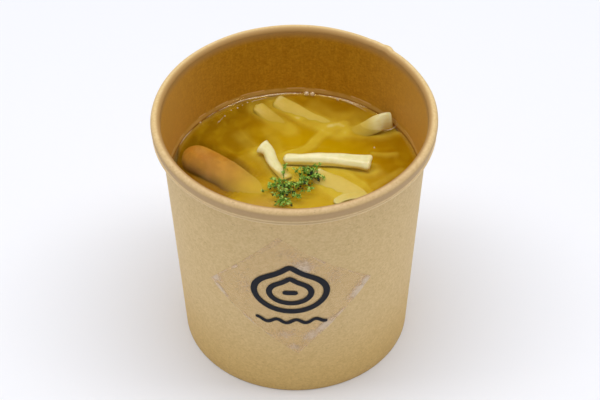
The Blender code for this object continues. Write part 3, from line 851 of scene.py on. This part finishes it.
def onion_mesh(shape, seed):
    """A bent strip with rounded edges, ribs along it and slightly uneven width and ends."""
    route = routed(shape["route"])
    length = length_of(route)
    close = [d * MM for d in (0.0, 0.06, 0.16, 0.3, 0.5, 0.75, 1.05, 1.4)]
    middle_length = length - 2.0 * ONION_END
    steps = max(int(middle_length / ONION_RING), 6)
    spots = close + [ONION_END + middle_length * i / steps for i in range(steps + 1)]
    spots += [length - d for d in reversed(close)]
    rings, values = [], {"across": [], "rim": [], "sinking": []}
    for spot in spots:
        t = spot / length
        centre, ahead, side = heading(route, t)
        side = Matrix.Rotation(math.radians(along(shape["roll"], t)), 3, ahead) @ side
        normal = ahead.cross(side)
        end = min(t, 1.0 - t) * length
        round_off = math.sqrt(min(1.0, 0.25 + end / (0.8 * MM)))
        corner = shape["corners"][0 if t < 0.5 else 1] * MM
        short = max(corner - end, 0.0)
        half = along(shape["width"], t) * MM / 2.0 - corner + math.sqrt(corner * corner - short * short)
        thick = shape["thickness"] * MM / 2.0 * round_off
        flare = 1.0 + shape["flare"] * smooth(2.6 * MM, 0.4 * MM, end)
        drowned = 0.9 * smooth(*shape["drowned"], t)
        ring = []
        for c, s in circle(ONION_SIDES):
            across = math.copysign(abs(c) ** 0.5, c)
            up = math.copysign(abs(s) ** 0.7, s)
            edge_wave = 0.34 * MM * noise.noise(Vector((t * length * 170.0, across * 0.8, seed)))
            rib = 0.07 * MM * noise.noise(Vector((across * 6.0, t * length * 50.0, seed + 5.0)))
            skew = 0.35 * MM * noise.noise(Vector((across * 1.5, seed, 9.0))) * (1.0 if t > 0.5 else -1.0)
            reach = across * (half - 0.2 * MM * (1.0 - round_off) + edge_wave) * flare
            arch = shape["crown"] * MM * (0.5 - across * across)
            arch += shape["lip"] * MM * (smooth(0.45, 0.95, across) + 0.7 * smooth(2.0 * MM, 0.3 * MM, end))
            ring.append(centre + side * reach + normal * (arch + up * (thick + rib))
                        + ahead * (skew * smooth(1.6 * MM, 0.0, end)))
            lost_side = shape["lost_side"] * smooth(0.4, -0.8, across)
            values["across"].append(across)
            values["rim"].append(max(across * across, 1.0 - min(end / (2.4 * MM), 1.0), lost_side))
            values["sinking"].append(drowned)
        rings.append(ring)
    verts, faces = [], []
    loft(rings, verts, faces)
    values["across"] += [0.0, 0.0]
    values["rim"] += [1.0, 1.0]
    values["sinking"] += [values["sinking"][0], values["sinking"][-1]]
    return verts, faces, values


def make_onion(name, shape, mat, seed, *nodes):
    verts, faces, values = onion_mesh(shape, seed)
    obj = outward(mesh_object(name + "_flesh", verts, faces, mat))
    keep_values(obj, **values, veil=[shape["veil"]] * len(verts))
    return place(obj, "onion", *nodes, sharp=60.0)


SAUSAGE_RADIUS = 5.6 * MM
SAUSAGE_BLUNT = 1.4                     # length of a rounded end over the radius
SAUSAGE_ROUTE = routed(((-39.7, 16.2, 62.2), (-28.0, 9.4, 61.6), (-16.8, -1.0, 60.4), (-6.0, -11.8, 59.0)))
SAUSAGE_LOST = 0.94                     # how far the broth hides its sunk end


def make_sausage(mat):
    """A bent rod with blunt ends; its skin is dimpled, and drawn in at the ends."""
    length = length_of(SAUSAGE_ROUTE)
    blunt = SAUSAGE_RADIUS * SAUSAGE_BLUNT
    cap, body, sides = 16, 110, 72
    stations = []
    for i in range(cap):
        angle = math.pi / 2.0 * i / cap
        stations.append((blunt * (1.0 - math.cos(angle)), max(math.sin(angle), 0.02)))
    stations += [(blunt + (length - 2.0 * blunt) * i / body, 1.0) for i in range(body + 1)]
    stations += [(length - spot, size) for spot, size in reversed(stations[:cap])]
    rings, sinking = [], []
    for spot, size in stations:
        centre, ahead, side = heading(SAUSAGE_ROUTE, spot / length)
        normal = ahead.cross(side)
        ring = []
        for c, s in circle(sides):
            out = side * c + normal * s
            point = centre + out * SAUSAGE_RADIUS
            bump = 0.34 * MM * noise.noise(point * 150.0) + 0.06 * MM * noise.noise(point * 800.0)
            ring.append(centre + out * (SAUSAGE_RADIUS - 0.1 * MM + bump) * size)
        rings.append(ring)
        sinking += [SAUSAGE_LOST * smooth(0.34, 0.8, spot / length)] * sides
    sinking += [0.0, SAUSAGE_LOST]
    verts, faces = [], []
    loft(rings, verts, faces)
    sausage = outward(mesh_object("sausage_rod", verts, faces, mat))
    keep_values(sausage, sinking=sinking, veil=[0.45 * value for value in sinking])
    return place(sausage, "sausage", "sausage")


# ---------------------------------------------------------------- broth

def tree_of(objects):
    """One search tree of several meshes that lie in the model's own frame."""
    verts, faces = [], []
    for obj in objects:
        start = len(verts)
        verts.extend(vert.co.copy() for vert in obj.data.vertices)
        faces.extend(tuple(start + i for i in face.vertices) for face in obj.data.polygons)
    return BVHTree.FromPolygons(verts, faces)


def meniscus(x, y):
    """How far the broth climbs the wall at a place."""
    return MENISCUS_RISE * math.exp((math.hypot(x, y) - BRIM) / MENISCUS_REACH)


def surface_height(x, y, tree):
    """The broth's height: flat, climbing the wall unevenly and climbing what stands out of it."""
    away = math.hypot(x, y) or 1.0
    rise = meniscus(x, y) * (1.0 + 0.35 * noise.noise(Vector((x / away, y / away, 0.0)) * 6.0))
    near = tree.find_nearest(Vector((x, y, SOUP_LEVEL + 0.45 * MM)), 4.0 * MM)
    if near[0] is not None:
        rise = max(rise, PIECE_RISE * math.exp(-near[3] / PIECE_REACH))
    return SOUP_LEVEL + rise + 0.03 * MM * noise.noise(Vector((x, y, 0.0)) * 120.0)


def make_clear_broth(mat, tree):
    """The clear top layer, a closed slab whose edge reaches just into the wall."""
    steps, spacing, shore = 384, 0.45 * MM, 3.0 * MM
    radii = [spacing * i for i in range(1, int((BRIM - shore) / spacing) + 1)]
    radii += [BRIM - shore + shore * i / 14.0 for i in range(15)]
    floor = SOUP_LEVEL - CLEAR_DEPTH
    verts = [Vector((0.0, 0.0, surface_height(0.0, 0.0, tree)))]
    for radius in radii:
        for c, s in circle(steps):
            z = surface_height(radius * c, radius * s, tree)
            reach = radius
            if radius == radii[-1]:
                reach += (z - SOUP_LEVEL) * WALL_SLOPE + 0.02 * MM
            verts.append(Vector((reach * c, reach * s, z)))
    under = inner_radius(floor) + 0.1 * MM
    verts += [Vector((under * c, under * s, floor)) for c, s in circle(steps)]
    verts.append(Vector((0.0, 0.0, floor)))
    clear = mesh_object("broth_clear", verts, stack_faces(steps, len(radii) + 1), mat)
    place(clear, "broth", "broth", sharp=65.0)


class Veils:
    """How strongly sunk onion clouds the broth above it, at any place."""

    def __init__(self):
        self.bands = []
        for shape in ONIONS.values():
            width = [w * 0.8 * MM for w in shape["width"]]
            self.add(shape["route"], width, 1.5 * MM, shape["veil"])
        for points, width, softness, strength in SUNK_ONIONS:
            self.add([(x, y, 0.0) for x, y in points], [width * MM] * 2, softness * MM, strength)

    def add(self, points, width, softness, strength):
        self.bands.append((sampled(routed(points)), width, softness, strength))

    def at(self, x, y):
        clear = 1.0
        for route, width, softness, strength in self.bands:
            reach, t = nearest_on(route, x, y)
            outside = max(reach - along(width, t) / 2.0, 0.0) / softness
            if outside < 3.0:
                ragged = 0.8 + 0.5 * noise.noise(Vector((x, y, strength)) * 260.0)
                clear *= 1.0 - min(strength * ragged, 1.0) * math.exp(-outside * outside)
        return 1.0 - clear


def murk_height(x, y, rod, cloud):
    """Top of the opaque broth: uneven, higher at the wall and over sunk onion, deep by the sausage."""
    radius = math.hypot(x, y)
    shore = smooth(BRIM - 6.0 * MM, BRIM - 0.8 * MM, radius)
    depth = MURK_DEPTH + (MURK_DEPTH_AT_WALL - MURK_DEPTH) * shore
    swell = 0.5 * MM * noise.noise(Vector((x, y, 0.003)) * 120.0) * (1.0 - shore)
    reach, t = nearest_on(rod, x, y)
    beside = on_route(rod, t)
    near_side = smooth(1.0 * MM, 5.0 * MM, (beside.x - x) * 0.7 + (beside.y - y) * 0.7)
    wide = 8.0 * MM + 4.0 * MM * near_side
    deep = smooth(wide, wide - 3.5 * MM, reach) * smooth(0.74, 0.5, t)
    deep *= max(near_side, 1.0 - smooth(BRIM - 4.0 * MM, BRIM - 1.0 * MM, radius))
    top = swell - depth - deep * (MURK_DEPTH_AT_SAUSAGE - depth)
    if top > -3.6 * MM:
        top -= (MURK_DEPTH_AT_ONION + top) * min(1.3 * cloud, 1.0)
    return SOUP_LEVEL + top


def make_murk(mat):
    """The clouded broth below, which hides the bottom of the cup."""
    steps, rings = 240, 84
    rod = sampled(SAUSAGE_ROUTE)
    veils = Veils()
    verts = [Vector((0.0, 0.0, murk_height(0.0, 0.0, rod, 0.0)))]
    veil = [veils.at(0.0, 0.0)]
    for i in range(1, rings + 1):
        radius = (BRIM + 0.15 * MM) * i / rings
        for c, s in circle(steps):
            veil.append(veils.at(radius * c, radius * s))
            z = murk_height(radius * c, radius * s, rod, veil[-1])
            held = min(radius, inner_radius(z) + 0.1 * MM)
            verts.append(Vector((held * c, held * s, z)))
    under = inner_radius(MURK_FLOOR) + 0.05 * MM
    verts += [Vector((under * c, under * s, MURK_FLOOR)) for c, s in circle(steps)]
    verts.append(Vector((0.0, 0.0, MURK_FLOOR)))
    veil += [0.0] * (steps + 1)
    murk = mesh_object("broth_cloudy", verts, stack_faces(steps, rings + 1), mat)
    keep_values(murk, veil=veil)
    place(murk, "broth", "broth", sharp=50.0)


# Bubbles: middle (x, y) and radius in mm
BUBBLES = ((4.4, 42.4, 0.95), (6.5, 42.1, 0.9), (15.6, 39.3, 0.6), (28.0, 13.8, 0.35),
           (-26.9, 28.2, 0.3), (-24.8, 31.2, 0.34), (-22.6, 34.2, 0.3), (-20.3, 35.5, 0.34),
           (-33.4, 27.0, 0.4), (-18.6, 36.8, 0.26), (-16.8, 38.2, 0.3), (-15.0, 38.6, 0.22))

# Painted glints: fine pale glossy beads on the meniscus that stand in for highlights along the waterline and
# round an onion; points (x, y) in mm and the bead's radius in mm
GLINT_BEADS = (
    (((-27.0, 33.4), (-19.4, 38.3), (-11.5, 41.1), (-3.4, 42.5), (2.6, 42.6)), 0.27),
    (((8.6, 41.8), (14.6, 40.1), (19.9, 37.8), (25.6, 34.2)), 0.2),
    (((29.2, 24.6), (30.6, 23.5), (32.4, 23.0), (34.5, 23.4), (36.8, 24.6)), 0.17),
    (((16.7, 38.9), (19.2, 37.7), (21.3, 36.4), (23.6, 34.7), (25.8, 32.7)), 0.12),
    (((-15.4, 38.7), (-12.4, 39.8), (-9.6, 40.7)), 0.12),
    (((-27.4, 27.4), (-26.2, 29.2), (-25.2, 30.8)), 0.10),
    (((-40.4, 15.1), (-38.6, 19.2), (-36.2, 23.3)), 0.18),
    (((-31.2, 29.6), (-29.6, 31.2), (-27.8, 32.8)), 0.11),
)


def dome_rings(centre, radius):
    """A bubble: the upper part of a sphere, down to just under the broth."""
    rings = []
    for i in range(6):
        tilt = math.radians(8.0 + 96.0 * i / 5.0)
        low, high = radius * math.sin(tilt), radius * math.cos(tilt)
        rings.append([centre + Vector((low * c, low * s, high)) for c, s in circle(16)])
    return rings


def glint_bead_rings(route, radius):
    """A fine pale bead for a painted glint, thickest in the middle, that rides on the meniscus."""
    rings = []
    for i in range(33):
        t = i / 32.0
        centre, _, side = heading(route, t)
        uneven = 1.0 + 0.5 * noise.noise(Vector((t * 9.0, radius / MM, 0.0)))
        size = radius * (0.25 + 0.75 * math.sin(math.pi * t)) * uneven
        centre.z = SOUP_LEVEL + 0.08 * MM + meniscus(centre.x, centre.y)
        rings.append([centre + (UP * s - side * c) * size for c, s in circle(8)])
    return rings


def make_bubbles_and_glints(mat):
    """Bubbles at the wall, and thin pale beads on the meniscus at the wall and round an onion that stand in
    for highlights there.
    """
    verts, faces = [], []
    for x, y, radius in BUBBLES:
        centre = Vector((x, y, 0.0)) * MM
        centre.z = SOUP_LEVEL + 0.1 * MM + meniscus(centre.x, centre.y)
        loft(dome_rings(centre, radius * MM), verts, faces)
    for points, radius in GLINT_BEADS:
        loft(glint_bead_rings(routed((x, y, 0.0) for x, y in points), radius * MM), verts, faces)
    place(outward(mesh_object("broth_bubbles_and_glints", verts, faces, mat)), "broth")


# ---------------------------------------------------------------- parsley

# Sprigs: root (x, y) and tip (x, y) in mm, rise of the tip in mm, and how many leaflets
SPRIGS = (
    (-3.9, -1.6, -3.9, 2.8, 2.0, 4), (-3.7, 0.0, -2.9, 3.2, 2.2, 3), (6.4, 0.6, 8.8, 4.2, 1.4, 5),
    (3.4, 0.6, 3.2, 2.8, 1.2, 6), (6.4, 0.4, 6.4, 3.2, 1.3, 6), (1.8, -0.4, -0.4, 2.2, 1.0, 5),
    (2.6, 0.0, 1.8, 2.4, 1.3, 4), (4.4, 0.6, 4.6, 2.4, 1.3, 5), (-5.0, -4.2, -8.0, -3.4, 1.4, 6),
    (-4.4, -4.0, -6.6, -2.8, 1.2, 6), (-8.2, -3.8, -9.4, -6.8, 0.8, 5), (-5.6, -6.0, -8.9, -7.4, 1.0, 4),
    (-3.6, -12.0, -6.8, -16.0, 0.9, 7), (-2.8, -12.2, -1.4, -16.2, 0.9, 6),
    (-4.2, -12.0, -4.4, -16.4, 0.8, 6),
    (1.6, -9.0, 5.2, -9.4, 1.2, 5), (0.6, -10.2, 2.0, -12.4, 0.8, 5), (3.4, -6.4, 6.0, -7.6, 1.0, 5),
    (8.0, -1.4, 10.2, -3.0, 0.6, 4), (-6.0, -9.0, -7.8, -11.0, 0.8, 5), (-1.4, -4.6, -4.2, -3.8, 1.2, 5),
    (-9.4, -8.0, -11.2, -8.6, 0.3, 3), (-0.6, -9.8, 1.4, -11.2, 0.8, 5), (7.6, 0.0, 8.6, -1.4, 1.0, 5),
)
# Clusters of loose flakes: middle (x, y) in mm, spread (x, y) in mm, and how many
CLUSTERS = (
    (5.4, 0.6, 2.4, 1.5, 40), (7.4, -1.4, 1.5, 1.6, 26), (3.4, -2.6, 2.2, 2.0, 46),
    (1.4, -5.4, 2.6, 1.8, 44), (-3.2, -6.2, 2.6, 1.9, 46), (-6.6, -6.0, 1.8, 2.0, 20),
    (-4.2, -9.6, 2.4, 2.2, 42), (-1.0, -9.6, 2.0, 1.8, 22), (-3.8, -13.2, 2.0, 1.6, 22),
)
PILE_HEIGHT = 1.7 * MM
LEAF = 0.1 * MM                         # thickness


class Scraps:
    """Leaflets and stems that together make one mesh, each with a tone of its own."""

    def __init__(self, draw):
        self.draw = draw
        self.verts, self.faces, self.tones_and_shade = [], [], []

    def leaflet(self, spot, sizes, lean, tone):
        """One dried leaflet: curled along its length, with three to five ragged lobes."""
        uniform = self.draw.uniform
        size = uniform(*sizes)
        turn = Matrix.Rotation(uniform(0.0, 2.0 * math.pi), 3, "Z")
        turn = turn @ Matrix.Rotation(uniform(-lean, lean), 3, "Y")
        turn = turn @ Matrix.Rotation(uniform(-lean, lean), 3, "X")
        curl, fold = uniform(0.5, 2.0), uniform(0.2, 0.9)
        count = 2 * self.draw.choice((3, 4, 5)) + 2
        outline = [(0.0, 0.0)]
        for j, (c, s) in enumerate(circle(count)):
            reach = size * (0.46 if j % 2 else 1.0) * uniform(0.8, 1.1)
            outline.append((0.5 * reach * c, 0.4 * reach * s))
        radius = 0.5 * size / curl
        top = len(self.verts)
        low = top + count + 1
        for lift in (LEAF, 0.0):
            for x, y in outline:
                height = math.cos(x / radius) * (radius + lift) - radius + fold * abs(y)
                self.verts.append(spot + turn @ Vector((math.sin(x / radius) * (radius + lift), y, height)))
        for j in range(1, count + 1):
            k = j % count + 1
            self.faces += [(top, top + j, top + k), (low, low + k, low + j),
                           (top + j, low + j, low + k, top + k)]
        self.tones_and_shade += [tone] * (2 * (count + 1))

    def stem(self, start, end, bow, tone):
        """A thin dry stem, four-sided, bowed upwards between two points."""
        ahead = (end - start).normalized()
        side = ahead.cross(UP).normalized()
        normal = side.cross(ahead)
        rings = []
        for i in range(6):
            t = i / 5.0
            middle = start.lerp(end, t) + UP * (bow * math.sin(math.pi * t))
            thick = 0.16 * MM * (1.0 - 0.4 * t)
            rings.append([middle + way * thick for way in (side, normal, -side, -normal)])
        loft(rings, self.verts, self.faces)
        self.tones_and_shade += [tone] * (len(self.verts) - len(self.tones_and_shade))


def make_parsley(mat, supports):
    """Dried parsley heaped on the broth and on the onion under it: sprigs over loose flakes."""
    draw = random.Random(11)
    scraps = Scraps(draw)

    def on_ground(x, y, lift):
        """A point over the broth, or over what stands out of it there."""
        hit = supports.ray_cast(Vector((x, y, SOUP_LEVEL + 12.0 * MM)), -UP)[0]
        return Vector((x, y, max(hit.z if hit else SOUP_LEVEL, SOUP_LEVEL) + lift))

    def any_tone(middle):
        return min(max(middle + draw.gauss(0.0, 0.34), 0.0), 1.0)

    for x, y, spread_x, spread_y, count in CLUSTERS:
        for _ in range(count):
            u, v = draw.gauss(0.0, 0.55), draw.gauss(0.0, 0.55)
            rise = draw.random()
            pile = PILE_HEIGHT * math.exp(-0.8 * (u * u + v * v)) * rise
            spot = on_ground((x + u * spread_x) * MM, (y + v * spread_y) * MM, 0.15 * MM + pile)
            # painted shade: a loose flake's tone is darker the lower it lies in the heap
            scraps.leaflet(spot, (0.9 * MM, 1.9 * MM), 0.8, any_tone(0.02 + 0.75 * rise))
    for root_x, root_y, tip_x, tip_y, rise, count in SPRIGS:
        root = on_ground(root_x * MM, root_y * MM, 0.3 * MM)
        tip = on_ground(tip_x * MM, tip_y * MM, rise * MM)
        scraps.stem(root, tip, 0.4 * MM, draw.uniform(0.3, 0.8))
        for i in range(count):
            aside = Vector([draw.uniform(*limits) for limits in ((-1.0, 1.0), (-1.0, 1.0), (-0.2, 0.6))])
            spread = (0.3 if i == 0 else 1.0) * 0.75 * MM
            spot = root.lerp(tip, 1.0 - 0.75 * i / count) + aside * spread
            scraps.leaflet(spot, (1.1 * MM, 2.0 * MM), 0.9, any_tone(0.6))
    heap = outward(mesh_object("parsley_flakes", scraps.verts, scraps.faces, mat))
    keep_values(heap, tone=scraps.tones_and_shade)
    place(heap, "parsley", "parsley_heap", sharp=40.0)


# ---------------------------------------------------------------- stage

def make_floor():
    corners = [(-4.0, -4.0, 0.0), (4.0, -4.0, 0.0), (4.0, 4.0, 0.0), (-4.0, 4.0, 0.0)]
    floor = mesh_object("floor", corners, [(0, 1, 2, 3)], floor_material())


def make_lights():
    """A pale studio, brighter behind the cup, with one wide panel overhead."""
    world = bpy.data.worlds.new("studio")
    world.use_nodes = True
    tree = world.node_tree
    direction = tree.nodes.new("ShaderNodeTexCoord")
    parts = tree.nodes.new("ShaderNodeSeparateXYZ")
    level = tree.nodes.new("ShaderNodeMapRange")
    for name, value in (("From Min", -1.0), ("From Max", 0.6), ("To Min", 0.34), ("To Max", 0.64)):
        level.inputs[name].default_value = value
    background = tree.nodes["Background"]
    background.inputs["Color"].default_value = (0.97, 0.98, 1.0, 1.0)
    tree.links.new(direction.outputs["Generated"], parts.inputs[0])
    tree.links.new(parts.outputs[1], level.inputs["Value"])
    tree.links.new(level.outputs[0], background.inputs["Strength"])
    bpy.context.scene.world = world

    data = bpy.data.lights.new("panel_over", "AREA")
    data.shape = "RECTANGLE"
    data.size, data.size_y = 1.6, 0.36
    data.energy = 11.0
    panel = bpy.data.objects.new("panel_over", data)
    panel.location = (0.0, -0.04, 1.2)
    aim = Vector((0.0, 0.0, 70.0 * MM)) - panel.location
    panel.rotation_euler = aim.to_track_quat("-Z", "Y").to_euler()
    bpy.context.scene.collection.objects.link(panel)


def make_camera():
    """The photograph's camera, fitted to the cup's outline."""
    data = bpy.data.cameras.new("camera")
    data.sensor_fit = "HORIZONTAL"
    data.sensor_width = 36.0
    data.lens = 154.87
    data.clip_start = 0.01
    camera = bpy.data.objects.new("camera", data)
    right = Vector((0.9999618, -0.005988, -0.006367))
    back = right.cross(Vector((0.008741, 0.685046, 0.728448))).normalized()
    up = back.cross(right).normalized()
    turn = Matrix((right, up, back)).transposed().to_4x4()
    camera.matrix_world = Matrix.Translation(Vector((1.713, -659.484, 675.311)) * MM) @ turn
    bpy.context.scene.collection.objects.link(camera)
    bpy.context.scene.camera = camera
    bpy.context.scene.view_settings.view_transform = "Standard"


# ---------------------------------------------------------------- the whole

def main():
    kraft = kraft_outside_material()
    make_cup_wall(kraft, kraft_inside_material())
    dress_base(kraft)
    make_label(film_material())
    make_label_print(ink_material())

    flesh = onion_material()
    pieces = [make_sausage(sausage_material())]
    for seed, (name, shape) in enumerate(ONIONS.items()):
        pieces.append(make_onion(name, shape, flesh, seed * 3.7, name))
    make_onion("onion_sunk", SUNK_STRIP, flesh, 29.0)

    tree = tree_of(pieces)
    make_clear_broth(clear_broth_material(), tree)
    make_murk(murk_material())
    make_bubbles_and_glints(bubble_and_glint_material())
    make_parsley(parsley_material(), tree)

    make_floor()
    make_lights()
    make_camera()


main()
